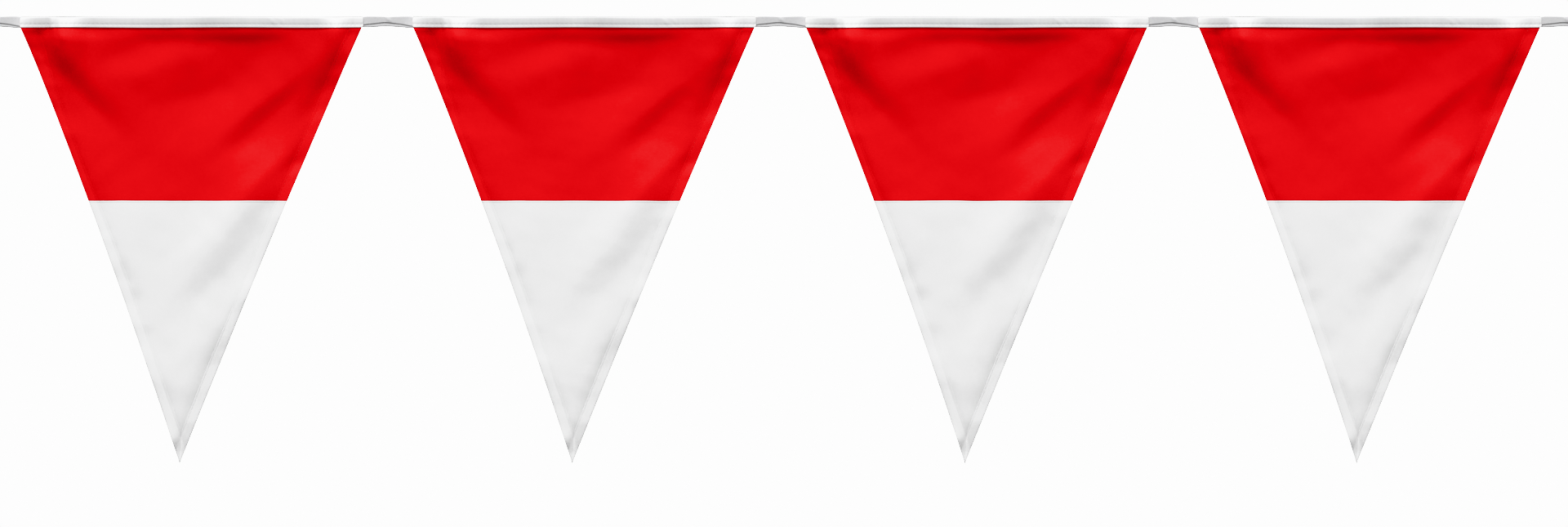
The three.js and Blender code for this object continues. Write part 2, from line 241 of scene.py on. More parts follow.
# The lean along a heading: how far its lower edge stands forward at x. All its layers lean together.
HEADING_LEAN = (
    dict(x=-115, lean=2.6), dict(x=-111.5, lean=1.8), dict(x=-108, lean=0.5), dict(x=-104, lean=-0.4),
    dict(x=-100, lean=-0.7), dict(x=-96, lean=-1.0), dict(x=-93.6, lean=1.6), dict(x=-92.2, lean=1.0),
    dict(x=-88.5, lean=3.4),
    dict(x=-80, lean=3.2), dict(x=-76, lean=1.9), dict(x=-72, lean=0.6), dict(x=-68, lean=-0.4),
    dict(x=-56, lean=0.0), dict(x=-46, lean=0.1), dict(x=-32, lean=-0.2), dict(x=-17, lean=-0.6),
    dict(x=-6, lean=0.0), dict(x=3, lean=-0.7), dict(x=11, lean=-1.2), dict(x=18, lean=-0.9),
    dict(x=28, lean=-0.5), dict(x=42, lean=0.0), dict(x=49, lean=-0.3), dict(x=60, lean=0.2),
    dict(x=68, lean=0.1), dict(x=78, lean=-0.2), dict(x=84, lean=0.1), dict(x=88, lean=1.0),
    dict(x=92, lean=2.4), dict(x=96, lean=3.4), dict(x=100, lean=2.8), dict(x=104, lean=1.6),
    dict(x=108, lean=0.8), dict(x=112, lean=1.5), dict(x=115, lean=1.0),
)

# The lean is softened along x, by LEAN_SOFT and by LEAN_SPREAD for each millimetre below the heading.
# It grows over LEAN_GROWS below it and is gone well past LEAN_FADES. LEAN_CURVE bends the heading
# forward towards its lower edge. Beyond the heading's ends the lean dies out over LEAN_REACH.
LEAN_SOFT = 1.2
LEAN_SPREAD = 0.25
LEAN_GROWS = 2.8
LEAN_FADES = 48.0
LEAN_CURVE = 1.15
LEAN_REACH = 5.0

# A heading's own creases and waves, how far its corners are rounded, and how softly its face bends
HEADING_CREASES = (
    dict(name="pinch", x1=-93.6, d1=0, x2=-93.4, d2=7, left=0.7, right=0.7, rise=0.35),
    dict(name="first slant", x1=51, d1=0.5, x2=58, d2=6.5, left=1.0, right=1.0, rise=0.35),
    dict(name="second slant", x1=58, d1=0.5, x2=63, d2=6, left=0.8, right=0.8, rise=0.25),
)
HEADING_WAVE = 0.15
HEADING_WAVE_LENGTH = 107.0
HEADING_RIPPLE = 0.05
HEADING_RIPPLE_PACE = 3.3
HEADING_ROUND = 1.1
HEADING_SOFT = 0.8

# A heading's section, from its front lower edge up over its fold and down its back. The front points
# make its face.
HEADING_SECTION = (
    dict(y=-1.47, d=7.55), dict(y=-1.48, d=7.2), dict(y=-1.46, d=6.8), dict(y=-1.42, d=6.4),
    dict(y=-1.36, d=5.95), dict(y=-1.28, d=5.5), dict(y=-1.37, d=5.1), dict(y=-1.48, d=4.6),
    dict(y=-1.49, d=3.6), dict(y=-1.46, d=2.6), dict(y=-1.38, d=1.6), dict(y=-1.22, d=0.8),
    dict(y=-0.93, d=0.32), dict(y=-0.45, d=0.08), dict(y=0.1, d=0.1), dict(y=0.6, d=0.45),
    dict(y=0.9, d=1.2), dict(y=1.0, d=2.3), dict(y=1.02, d=3.6), dict(y=0.95, d=4.6),
    dict(y=0.78, d=5.5), dict(y=0.82, d=6.3), dict(y=0.9, d=7.5),
)
HEADING_CENTRE = 3.7
FRONT_POINTS = 13
FRONT_SEAM_POINT = 5
BACK_SEAM_POINT = 20

# Rows along a heading: close together at its ends, and then evenly between the two insets
HEADING_END_ROWS = (0, 0.08, 0.22, 0.42, 0.7, 1.05)
HEADING_INSETS = (1.5, 1.3)
HEADING_STEP = 0.5

# The tape between two headings. at is the share of the way, top its height, front and back its two
# lower edges' heights, and the y values say where its fold and the lower edges stand.
TAPE_BETWEEN = (
    dict(at=0.0, top=-0.35, front=-6.0, back=-7.4, top_y=0.2, front_y=-0.05, back_y=0.25),
    dict(at=0.04, top=0.0, front=-5.5, back=-7.5, top_y=0.2, front_y=-0.05, back_y=0.25),
    dict(at=0.2, top=0.0, front=-5.0, back=-7.4, top_y=0.25, front_y=-0.1, back_y=0.15),
    dict(at=0.38, top=-0.1, front=-4.2, back=-6.9, top_y=0.3, front_y=-0.15, back_y=0.1),
    dict(at=0.5, top=-0.45, front=-4.1, back=-6.8, top_y=0.35, front_y=-0.2, back_y=0.05),
    dict(at=0.6, top=-0.2, front=-4.6, back=-7.1, top_y=0.3, front_y=-0.15, back_y=0.1),
    dict(at=0.78, top=0.0, front=-5.4, back=-7.5, top_y=0.25, front_y=-0.1, back_y=0.15),
    dict(at=0.95, top=0.0, front=-6.6, back=-8.0, top_y=0.2, front_y=-0.05, back_y=0.25),
    dict(at=1.0, top=-0.35, front=-6.8, back=-7.8, top_y=0.2, front_y=-0.05, back_y=0.25),
)
TAPE_INSIDE = dict(top=-1.2, front=-7.0, back=-7.2, top_y=0.0, front_y=-0.22, back_y=0.12)
TAPE_CREASES = (
    dict(name="slant", x1=-1.5, d1=0.3, x2=2.6, d2=4.4, left=1.0, right=1.0, rise=0.5),
)

# Where the tape lies flat inside a heading, from the heading's ends. Its rows and how they are
# softened, its fold's radius, the columns down a leg and round the fold, and how its legs bend
TAPE_FLAT = (5, 60)
TAPE_STEP = 0.9
TAPE_SOFT = 1.3
TAPE_FOLD = 0.34
TAPE_LEG_COLUMNS = 9
TAPE_TURN = (0, 45, 90, 135, 180)
TAPE_FRONT_CURVE = 1.6
TAPE_BACK_CURVE = 0.5

# The print: where its lower border starts to be painted, over how far, and its colours
PRINT_FROM = 118.5
PRINT_SPAN = 10
PRINT_WOBBLE = 0.8
RED = (0.76, 0.0022, 0.0052)
RED_BORDER = (0.58, 0.002, 0.004)
WHITE_BORDER = (0.95, 0.95, 0.95)
GREY_LINE = (0.75, 0.75, 0.75)
WHITE = (0.915, 0.915, 0.915)

# The photograph's view: its frame's middle and width, and a long lens from straight in front
VIEW_X = 0.0022
VIEW_Z = -0.1656
VIEW_WIDTH = 1.051
LENS = 300.0
SENSOR = 36.0

# The studio: its floor, two suns with their strengths and angles, and the white surround, as it is seen
# and as it lights
FLOOR_Z = -0.55
FLOOR_RADIUS = 8.0
KEY = dict(comes_from=(-0.05, -0.8, 1.28), strength=4.1, angle=0.4)
BACK = dict(comes_from=(0.3, 0.9, 0.7), strength=1.1, angle=0.9)
SURROUND_SEEN = 4.0
SURROUND_LIGHT = 0.41


def smoothstep(value, start, end):
    share = np.clip((value - start) / (end - start), 0, 1)
    return share * share * (3 - 2 * share)


def heading_middle(n):
    low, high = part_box(f"heading_{n}")
    return (low[0] + high[0]) / 2 / MM


def column(rows, key):
    return np.array([row[key] for row in rows], float)


def fold_rise(fold, x, d):
    """How far one fold stands out at x, d: a soft ridge or trough along its line."""
    length = math.hypot(fold["x2"] - fold["x1"], fold["d2"] - fold["d1"])
    along_x = (fold["x2"] - fold["x1"]) / length
    along_d = (fold["d2"] - fold["d1"]) / length
    share = ((x - fold["x1"]) * along_x + (d - fold["d1"]) * along_d) / length
    inside = np.clip(share, 0, 1)
    past = (share - inside) * length
    aside = (x - fold["x1"]) * along_d - (d - fold["d1"]) * along_x
    fade = FOLD_ENDS + (1 - FOLD_ENDS) * np.sin(np.pi * inside) ** 2
    width = np.where(aside > 0, fold["left"], fold["right"])
    end_width = (fold["left"] + fold["right"]) / 2
    return fold["rise"] * fade * np.exp(-((aside / width) ** 2) - (past / end_width) ** 2)


def sides(flag, d):
    """A flag's left and right edge at d"""
    share = np.clip((d - HEADING_HEIGHT) / (DROP - HEADING_HEIGHT), 0, 1)
    left_bow = LEFT_BOW * np.maximum(np.sin(np.pi * share**LEFT_PEAK), 0) ** BOW_POWER
    right_bow = RIGHT_BOW * np.maximum(np.sin(np.pi * share**RIGHT_PEAK), 0) ** BOW_POWER
    left = LEFT_CORNER + (flag["tip"] - LEFT_CORNER) * share + left_bow
    right = RIGHT_CORNER + (flag["tip"] - RIGHT_CORNER) * share - right_bow
    return left, right


def hem_width(rows, d):
    return np.interp(d, column(rows, "d"), column(rows, "width"))


def side_stretch(corner, flag):
    """Length across a flag for each millimetre square to its side"""
    return math.hypot(1, (flag["tip"] - corner) / (DROP - HEADING_HEIGHT))


def puckers(rows, d, from_edge):
    """How far a hem stands out at d from all its puckers above it, softened a little along the hem"""
    places = column(rows, "to")
    steps = np.diff(places, prepend=places[0]) * column(rows, "slope")
    shifts = np.linspace(-1, 1, 5) * PUCKER_SOFT
    around = [np.interp(d + shift, places, np.cumsum(steps)) for shift in shifts]
    return sum(around) / len(around) * np.exp(-((np.maximum(from_edge, 0) / PUCKER_REACH) ** 2))


def valley(from_edge, hem, deep):
    """The seam pulls the cloth back along the hem's inner edge."""
    seam = from_edge - hem + HEM_SEAM
    reach = np.where(seam > 0, VALLEY_INWARDS, VALLEY_OUTWARDS)
    return -deep * np.exp(-np.abs(seam) / reach) - HEM_SEAM_DIP * np.exp(-(seam**2))


def unevenness(x, d, phase):
    """The small soft waves of hanging cloth: many faint patches of waves in all directions"""
    waves = np.random.default_rng(int(phase) + WAVE_SEED)
    total = 0
    for _ in range(WAVES):
        patch = WAVE_SLOPE
        for length in waves.uniform(*WAVE_LENGTHS, 2):
            turn, start = waves.uniform(0, 2 * np.pi, 2)
            along = x * np.cos(turn) + d * np.sin(turn)
            patch = patch * np.sin(2 * np.pi * along / length + start)
            patch = patch * math.sqrt(length)
        total = total + patch
    return total


def heading_lean(x, d):
    """How far the layers of a heading, or the cloth below it, stand forward at x, d"""
    past_end = np.maximum(np.abs(x) - HEADING_LENGTH / 2, 0)
    below = np.maximum(d - HEADING_HEIGHT, 0)
    reach = LEAN_SOFT + LEAN_SPREAD * below
    around = [np.interp(x + shift * reach, column(HEADING_LEAN, "x"), column(HEADING_LEAN, "lean"))
              for shift in np.linspace(-1, 1, 7)]
    lower_edge = sum(around) / len(around) * np.exp(-past_end / LEAN_REACH)
    inside = np.clip(d / HEADING_HEIGHT, 0, 1) ** LEAN_CURVE
    grown = 1 + LEAN_CURVE / HEADING_HEIGHT * LEAN_GROWS * (1 - np.exp(-below / LEAN_GROWS))
    return lower_edge * inside * grown * np.exp(-((below / LEAN_FADES) ** 2))


def relief(flag, x, d):
    """How far a flag's cloth stands out at x, d"""
    left, right = sides(flag, d)
    from_left = (x - left) / side_stretch(LEFT_CORNER, flag)
    from_right = (right - x) / side_stretch(RIGHT_CORNER, flag)
    total = sum(fold_rise(fold, x - flag["shift"], d) for fold in FOLDS + FINE_FOLDS) * flag["depth"]
    total = total + unevenness(x, d, flag["phase"])
    hems = puckers(LEFT_PUCKERS, d, from_left) + puckers(RIGHT_PUCKERS, d, from_right)
    seams = valley(from_left, hem_width(LEFT_HEM, d), LEFT_VALLEY)
    seams = seams + valley(from_right, hem_width(RIGHT_HEM, d), RIGHT_VALLEY)
    curl = RIGHT_CURL * smoothstep(d, *CURL_ENDS[:2]) * (1 - smoothstep(d, *CURL_ENDS[2:]))
    seams = seams + curl * np.exp(-np.maximum(from_right, 0) / CURL_REACH)
    rolled = np.exp(-from_left / EDGE_ROLL_REACH) + np.exp(-from_right / EDGE_ROLL_REACH)
    total = total * smoothstep(d, TUCK_END, FOLDS_FULL) + heading_lean(x, d)
    return total + (hems + seams - EDGE_ROLL * rolled) * smoothstep(d, TUCK_END, TUCK_END + 4)


def flag_grid(flag):
    """Middle points of a flag's cloth, rows down and columns from the left hem's raw edge to the
    right hem's: hidden turn, inner fold, front of the hem, outer fold, the cloth, and back again."""
    rows = int((DROP - TUCK_TOP) / ROW_STEP)
    d = np.linspace(TUCK_TOP, DROP - TIP_BLUNT, rows)[:, None]
    left, right = sides(flag, d)
    across = right - left
    left_hem = hem_width(LEFT_HEM, d) * side_stretch(LEFT_CORNER, flag)
    right_hem = hem_width(RIGHT_HEM, d) * side_stretch(RIGHT_CORNER, flag)
    room = np.maximum(across - tip_gap(d), 0.1) / (left_hem + right_hem)
    fit = np.minimum(1, room)
    freed = smoothstep(d, HEADING_HEIGHT - PRESSED_ABOVE, HEADING_HEIGHT)
    pressed = PRESSED_LAYER + (1 - PRESSED_LAYER) * freed
    layer = HEM_LAYER * np.clip(fit * TIP_FULLNESS, PRESSED_LAYER, 1) * pressed
    left_part = hem_columns(left, left_hem * fit, layer, 1)
    right_part = hem_columns(right, right_hem * fit, layer, -1)
    inset = CLOTH_INSET * layer
    share = np.linspace(0, 1, COLUMNS)[None, :]
    cloth_x = left + inset + (across - 2 * inset) * share
    x = np.hstack([left_part[0], cloth_x, right_part[0][:, ::-1]])
    front = np.hstack([left_part[1], np.zeros_like(cloth_x), right_part[1][:, ::-1]])
    depth = np.broadcast_to(d, x.shape)
    y = FLAG_Y - relief(flag, x, depth) - front
    return np.stack([x, y, -depth], axis=-1)


def tip_gap(d):
    """The two hems leave a narrow slit between them that opens towards the tip."""
    return TIP_SLIT + TIP_OPENS_BY * smoothstep(d, DROP - TIP_OPENS[0], DROP - TIP_OPENS[1])


def hem_taper(share):
    """A hem thins towards its raw edge. share is the part of its width counted from there."""
    return HEM_TAPER + (1 - HEM_TAPER) * smoothstep(share, 0, HEM_TAPER_REACH)


def hem_columns(edge, width, layer, inwards):
    """x and forward distance of a hem's columns, from its raw edge to the fold at the flag's edge"""
    places = np.array(HEM_PLACES)[None, :]
    inner = edge + inwards * width
    turn = np.radians(HEM_TURN)[None, :]
    hidden = layer * HIDDEN_INSET + (width - layer * HIDDEN_SHORTER) * np.array([HIDDEN_PLACES])
    hidden_x = edge + inwards * hidden
    hidden_front = layer * np.array([[1, 1, HEM_TAPER]])
    inner_x = inner - inwards * layer * 0.5 * (1 - np.sin(turn))
    inner_front = HEM_TAPER * layer * (1.5 - 0.5 * np.cos(turn))
    front_x = edge + inwards * width * places[:, ::-1]
    front_front = 2 * layer * hem_taper(1 - places[:, ::-1])
    outer_x = edge + inwards * layer * (1 - np.sin(turn))
    outer_front = layer * (1 + np.cos(turn))
    x = np.hstack([hidden_x, inner_x, front_x, outer_x])
    front = np.hstack([hidden_front, inner_front, front_front, outer_front])
    return x, front


def heading_grid(flag):
    """Middle points of a heading: rows along it, columns from its front lower edge over its fold"""
    half = HEADING_LENGTH / 2
    end = np.array(HEADING_END_ROWS)
    between = np.arange(HEADING_INSETS[0] - half, half - HEADING_INSETS[1], HEADING_STEP)
    x = np.concatenate([end - half, between, (half - end)[::-1]])
    past_round = np.clip(HEADING_ROUND - half + np.abs(x), 0, HEADING_ROUND)
    corner = HEADING_ROUND - np.sqrt(HEADING_ROUND**2 - past_round**2)
    wave = HEADING_WAVE * np.sin(2 * np.pi * x / HEADING_WAVE_LENGTH + flag["phase"])
    y, d = column(HEADING_SECTION, "y")[None, :], column(HEADING_SECTION, "d")[None, :]
    face = np.where(np.arange(y.shape[1]) < FRONT_POINTS, 1.0, 0.0)[None, :]
    depth = HEADING_CENTRE + (d - HEADING_CENTRE) * (1 - corner[:, None] / HEADING_CENTRE)
    spread = np.broadcast_to(x[:, None], depth.shape)
    out = sum(fold_rise(crease, spread, depth) for crease in HEADING_CREASES)
    out = out + HEADING_RIPPLE * np.sin(x / HEADING_RIPPLE_PACE + flag["phase"])[:, None]
    along = (x - x[0] - HEADING_SEAM_START + STITCH_GAP / 2) / STITCH_PITCH
    from_hole = np.abs(along - np.round(along))[:, None] * STITCH_PITCH
    hole = NEEDLE_HOLE * np.exp(-(from_hole**2 + (depth - HEADING_SEAM) ** 2) / NEEDLE_REACH**2)
    y = y - face * (smooth_rows(x, out, HEADING_SOFT) - hole) - heading_lean(spread, depth)
    return np.stack([spread, y, wave[:, None] - depth], axis=-1)


def smooth_rows(x, values, width):
    """Softens values along x, so that no lean or crease has a sharp kink"""
    weights = np.exp(-(((x[:, None] - x[None, :]) / width) ** 2))
    weights /= weights.sum(axis=1, keepdims=True)
    return weights @ values


def tape_grid():
    """Middle points of the tape: rows along it, columns from its front lower edge over its fold"""
    middles = [heading_middle(n) for n in range(1, FLAGS + 1)]
    half = HEADING_LENGTH / 2
    between = middles[1] - middles[0] - HEADING_LENGTH
    starts = [middles[0] - half - between] + [middle + half for middle in middles]
    keys = ("top", "front", "back", "top_y", "front_y", "back_y")
    rows = []
    for start in starts:
        rows += [(start + row["at"] * between, *[row[key] for key in keys]) for row in TAPE_BETWEEN]
    inside = [TAPE_INSIDE[key] for key in keys]
    for middle in middles:
        rows += [(middle + side * (half - inset), *inside) for side in (-1, 1) for inset in TAPE_FLAT]
    rows = np.array(sorted(rows))
    x = np.arange(-TAPE_END, TAPE_END, TAPE_STEP)
    values = np.stack([np.interp(x, rows[:, 0], rows[:, k]) for k in range(1, 7)], axis=1)
    values = smooth_rows(x, values, TAPE_SOFT)
    top, front, back, top_y, front_y, back_y = [values[:, k][:, None] for k in range(6)]
    share = np.linspace(0, 1, TAPE_LEG_COLUMNS)[None, :]
    front_z = front + (top - TAPE_FOLD - front) * share
    front_line = front_y + (top_y - TAPE_FOLD - front_y) * share**TAPE_FRONT_CURVE
    turn = np.radians(TAPE_TURN)[None, :]
    fold_y = top_y - TAPE_FOLD * np.cos(turn)
    fold_z = top - TAPE_FOLD + TAPE_FOLD * np.sin(turn)
    back_z = top - TAPE_FOLD + (back - top + TAPE_FOLD) * share
    back_line = top_y + TAPE_FOLD + (back_y - top_y - TAPE_FOLD) * share**TAPE_BACK_CURVE
    y = np.hstack([front_line, fold_y[:, 1:-1], back_line])
    z = np.hstack([front_z, fold_z[:, 1:-1], back_z])
    spread = np.broadcast_to(x[:, None], y.shape)
    face = np.where(np.arange(y.shape[1]) <= TAPE_LEG_COLUMNS, 1.0, 0.0)[None, :]
    crease = 0
    for start in starts:
        local = spread - start - between / 2
        crease = crease + sum(fold_rise(row, local, -z) for row in TAPE_CREASES)
    nearest = np.array(middles)[np.abs(x[:, None] - np.array(middles)[None, :]).argmin(axis=1)][:, None]
    return np.stack([spread, y - face * crease - heading_lean(spread - nearest, -z), z], axis=-1)


def make_mesh(name, points, faces, flat=None):
    mesh = bpy.data.meshes.new(name)
    mesh.from_pydata(points, [], faces)
    smooth = np.ones(len(mesh.polygons), bool)
    if flat is not None:
        smooth[flat] = False
    mesh.polygons.foreach_set("use_smooth", smooth)
    mesh.update()
    piece = bpy.data.objects.new(name, mesh)
    bpy.context.collection.objects.link(piece)
    return piece


def thin_sheet(name, grid, thickness, shift):
    """A closed thin sheet of the given thickness around a grid of middle points"""
    rows, cols = grid.shape[:2]
    normal = np.cross(np.gradient(grid, axis=0), np.gradient(grid, axis=1))
    normal /= np.linalg.norm(normal, axis=-1, keepdims=True)
    points = np.concatenate([
        (grid + normal * thickness / 2).reshape(-1, 3),
        (grid - normal * thickness / 2).reshape(-1, 3),
    ])
    points[:, 0] += shift
    order = np.arange(rows * cols).reshape(rows, cols)
    a, b = order[:-1, :-1].ravel(), order[:-1, 1:].ravel()
    c, d = order[1:, 1:].ravel(), order[1:, :-1].ravel()
    behind = rows * cols
    front = np.stack([a, d, c, b], axis=1)
    back = np.stack([a, b, c, d], axis=1) + behind
    loop = np.concatenate([order[0, :-1], order[:-1, -1], order[-1, :0:-1], order[:0:-1, 0]])
    after = np.roll(loop, -1)
    rim = np.stack([loop, after, after + behind, loop + behind], axis=1)
    faces = np.concatenate([front, back, rim])
    flat = np.arange(len(front) + len(back), len(faces))
    return make_mesh(name, (points * MM).tolist(), faces.tolist(), flat)


def stitches(name, starts, ends, outwards):
    """One mesh of short threads, each a little arch from its start to its end"""
    rings, around = THREAD_RINGS, THREAD_AROUND
    share = np.linspace(0, 1, rings)
    radius = THREAD / 2 * (THREAD_ENDS + (1 - THREAD_ENDS) * np.sin(np.pi * share))
    rise = THREAD * (THREAD_ARCH * np.sin(np.pi * share) - THREAD_SUNK)
    along = ends - starts
    along /= np.linalg.norm(along, axis=1, keepdims=True)
    side = np.cross(along, outwards)
    side /= np.linalg.norm(side, axis=1, keepdims=True)
    centre = starts[:, None] + (ends - starts)[:, None] * share[None, :, None]
    centre = centre + outwards[:, None] * rise[None, :, None]
    angle = 2 * np.pi * np.arange(around) / around
    round_out = np.cos(angle)[None, None, :, None] * outwards[:, None, None]
    round_side = np.sin(angle)[None, None, :, None] * side[:, None, None]
    points = centre[:, :, None] + radius[None, :, None, None] * (round_out + round_side)
    faces = []
    for ring in range(rings - 1):
        for k in range(around):
            a, b = ring * around + k, ring * around + (k + 1) % around
            faces.append((a, a + around, b + around, b))
    caps = [tuple(range(around)), tuple(range(rings * around - 1, (rings - 1) * around - 1, -1))]
    count = rings * around
    every = [tuple(i + n * count for i in face) for n in range(len(starts)) for face in faces + caps]
    return make_mesh(name, (points.reshape(-1, 3) * MM).tolist(), every)


def hem_seam(flag, corner, hem, inwards, backside):
    """Starts, ends and outward directions of the stitches down one hem"""
    stretch = side_stretch(corner, flag)
    down = STITCH_PITCH / stretch
    d = np.arange(HEADING_HEIGHT + HEM_SEAM_START, DROP - HEM_SEAM_STOP, down)
    pairs = []
    for place in (d, d + STITCH_LENGTH / stretch):
        left, right = sides(flag, place)
        edge = left if inwards > 0 else right
        x = edge + inwards * (hem_width(hem, place) - HEM_SEAM) * stretch
        y = FLAG_Y - relief(flag, x, place)
        hem_front = 2 * HEM_LAYER * hem_taper(HEM_SEAM / hem_width(hem, place))
        y = y + FLAG_SHEET / 2 if backside else y - hem_front - FLAG_SHEET / 2
        pairs.append(np.stack([x, y, -place], axis=1))
    out = np.tile([0.0, 1.0 if backside else -1.0, 0.0], (len(d), 1))
    return pairs[0], pairs[1], out


def heading_seam(grid, backside):
    """The row of stitches through a heading, laid on its surface"""
    line = grid[:, BACK_SEAM_POINT if backside else FRONT_SEAM_POINT]
    x = np.arange(line[0, 0] + HEADING_SEAM_START, line[-1, 0] - STITCH_PITCH, STITCH_PITCH)
    sign = 1.0 if backside else -1.0
    pairs = []
    for place in (x, x + STITCH_LENGTH):
        y = np.interp(place, line[:, 0], line[:, 1]) + sign * HEADING_SHEET / 2
        z = np.interp(place, line[:, 0], line[:, 2])
        pairs.append(np.stack([place, y, z], axis=1))
    return pairs[0], pairs[1], np.tile([0.0, sign, 0.0], (len(x), 1))


def joined(name, seams, shift):
    starts, ends, out = [np.concatenate(part) for part in zip(*seams)]
    move = np.array([shift, 0, 0])
    return stitches(name, starts + move, ends + move, out)


class Nodes:
    """A small helper that adds and links a material's nodes"""

    def __init__(self, name):
        self.material = bpy.data.materials.new(name)
        self.material.use_nodes = True
        self.tree = self.material.node_tree
        self.tree.nodes.clear()

    def add(self, kind, inputs=None, **settings):
        node = self.tree.nodes.new(kind)
        for key, value in settings.items():
            setattr(node, key, value)
        for key, value in (inputs or {}).items():
            if isinstance(value, bpy.types.NodeSocket):
                self.tree.links.new(value, node.inputs[key])
            else:
                node.inputs[key].default_value = value
        return node

    def math(self, operation, a, b=0.0, c=0.0):
        node = self.add("ShaderNodeMath", {0: a, 1: b, 2: c}, operation=operation)
        return node.outputs[0]

    def multiply(self, a, b):
        node = self.add("ShaderNodeMix", {0: 1.0, 6: a, 7: b}, data_type="RGBA", blend_type="MULTIPLY")
        return node.outputs[2]

    def ramp(self, value, stops):
        node = self.add("ShaderNodeValToRGB", {0: value})
        elements = node.color_ramp.elements
        while len(elements) < len(stops):
            elements.new(0.5)
        for element, (place, colour) in zip(elements, stops):
            element.position = place
            element.color = (*colour, 1)
        return node.outputs[0]

    def place(self):
        return self.add("ShaderNodeTexCoord").outputs["Object"]

    def threads(self, pitch_x, pitch_z):
        """Height of a plain weave: two crossing sets of round threads"""
        split = self.add("ShaderNodeSeparateXYZ", {0: self.place()})
        across = self.math("SINE", self.math("MULTIPLY", split.outputs[0], 2 * math.pi / pitch_x))
        down = self.math("SINE", self.math("MULTIPLY", split.outputs[2], 2 * math.pi / pitch_z))
        return self.math("MULTIPLY", across, down)

    def bump(self, height, distance, strength=1.0):
        node = self.add("ShaderNodeBump", {"Height": height, "Distance": distance, "Strength": strength})
        return node.outputs["Normal"]

    def finish(self, shader):
        self.add("ShaderNodeOutputMaterial", {"Surface": shader})
        return self.material


def print_colour(nodes):
    """The print: red above and white below, with a darker border and a faint line where they meet"""
    place = nodes.place()
    drop = nodes.math("MULTIPLY", nodes.add("ShaderNodeSeparateXYZ", {0: place}).outputs[2], -1 / MM)
    wobble = nodes.add("ShaderNodeTexNoise", {"Vector": place, "Scale": 35.0, "Detail": 2.0})
    shift = nodes.math("MULTIPLY_ADD", wobble.outputs[0], PRINT_WOBBLE, -PRINT_WOBBLE / 2)
    drop = nodes.math("ADD", drop, shift)
    share = nodes.math("MULTIPLY_ADD", drop, 1 / PRINT_SPAN, -PRINT_FROM / PRINT_SPAN)
    return nodes.ramp(share, (
        (0.0, RED), (0.42, RED), (0.47, RED_BORDER), (0.5, RED_BORDER), (0.515, WHITE_BORDER),
        (0.57, WHITE_BORDER), (0.59, GREY_LINE), (0.62, GREY_LINE), (0.65, WHITE), (1.0, WHITE),
    ))


def flag_cloth():
    """Thin smooth polyester, printed red above and left white below"""
    nodes = Nodes("printed flag cloth")
    place = nodes.place()
    colour = print_colour(nodes)
    mottle = nodes.add("ShaderNodeTexNoise", {"Vector": place, "Scale": 420.0, "Detail": 3.0})
    shade = nodes.math("MULTIPLY_ADD", mottle.outputs[0], 0.05, 0.975)
    tinted = nodes.multiply(colour, shade)
    normal = nodes.bump(nodes.threads(0.42 * MM, 0.38 * MM), 0.012 * MM, 0.6)
    body = nodes.add("ShaderNodeBsdfPrincipled", {
        "Base Color": tinted, "Roughness": 0.62, "Specular IOR Level": 0.04, "Normal": normal,
    })
    through = nodes.add("ShaderNodeBsdfTranslucent", {"Color": tinted, "Normal": normal})
    mix = nodes.add("ShaderNodeMixShader", {0: 0.12, 1: body.outputs[0], 2: through.outputs[0]})
    return nodes.finish(mix.outputs[0])


def heading_satin():
    """White satin tape with a soft shine and fine crosswise ribs, and painted shade along the top of its
    fold
    """
    nodes = Nodes("white satin heading")
    place = nodes.place()
    streaks = nodes.add("ShaderNodeMapping", {"Vector": place, "Scale": (1.0, 1.0, 0.12)})
    noise = nodes.add("ShaderNodeTexNoise", {"Vector": streaks.outputs[0], "Scale": 500.0, "Detail": 2.0})
    satin = nodes.ramp(noise.outputs[0], ((0.35, (0.66, 0.66, 0.665)), (0.65, (0.69, 0.69, 0.69))))
    # Painted shade: the colour darkens to 0.4 over the top 0.75 mm of the heading, where it turns over
    # its fold
    upwards = nodes.add("ShaderNodeSeparateXYZ", {0: place}).outputs[2]
    height = nodes.math("MULTIPLY_ADD", upwards, 1 / MM, 1.0)
    fold = nodes.ramp(height, ((0.25, (1, 1, 1)), (0.65, (0.4, 0.4, 0.4))))
    colour = nodes.multiply(satin, fold)
    normal = nodes.bump(nodes.threads(0.5 * MM, 0.3 * MM), 0.012 * MM, 0.5)
    body = nodes.add("ShaderNodeBsdfPrincipled", {
        "Base Color": colour, "Roughness": 0.34, "Specular IOR Level": 1.0, "Normal": normal,
    })
    return nodes.finish(body.outputs[0])


def tape_cloth():
    """Matt white woven tape, a little greyer than the headings"""
    nodes = Nodes("matt woven tape")
    place = nodes.place()
    noise = nodes.add("ShaderNodeTexNoise", {"Vector": place, "Scale": 700.0, "Detail": 3.0})
    colour = nodes.ramp(noise.outputs[0], ((0.35, (0.55, 0.55, 0.56)), (0.65, (0.58, 0.58, 0.585))))
    normal = nodes.bump(nodes.threads(0.45 * MM, 0.35 * MM), 0.012 * MM, 0.5)
    body = nodes.add("ShaderNodeBsdfPrincipled", {
        "Base Color": colour, "Roughness": 0.7, "Specular IOR Level": 0.25, "Normal": normal,
    })
    return nodes.finish(body.outputs[0])


def thread():
    """White twisted sewing thread"""
    nodes = Nodes("white thread")
    place = nodes.place()
    twist = nodes.add("ShaderNodeTexWave", {"Vector": place, "Scale": 900.0, "Distortion": 1.5},
                      wave_type="BANDS", bands_direction="DIAGONAL")
    colour = nodes.ramp(twist.outputs[0], ((0.2, (0.74, 0.74, 0.74)), (0.8, (0.84, 0.84, 0.84))))
    body = nodes.add("ShaderNodeBsdfPrincipled", {
        "Base Color": colour, "Roughness": 0.5, "Specular IOR Level": 0.3,
        "Normal": nodes.bump(twist.outputs[0], 0.03 * MM, 0.5),
    })
    return nodes.finish(body.outputs[0])


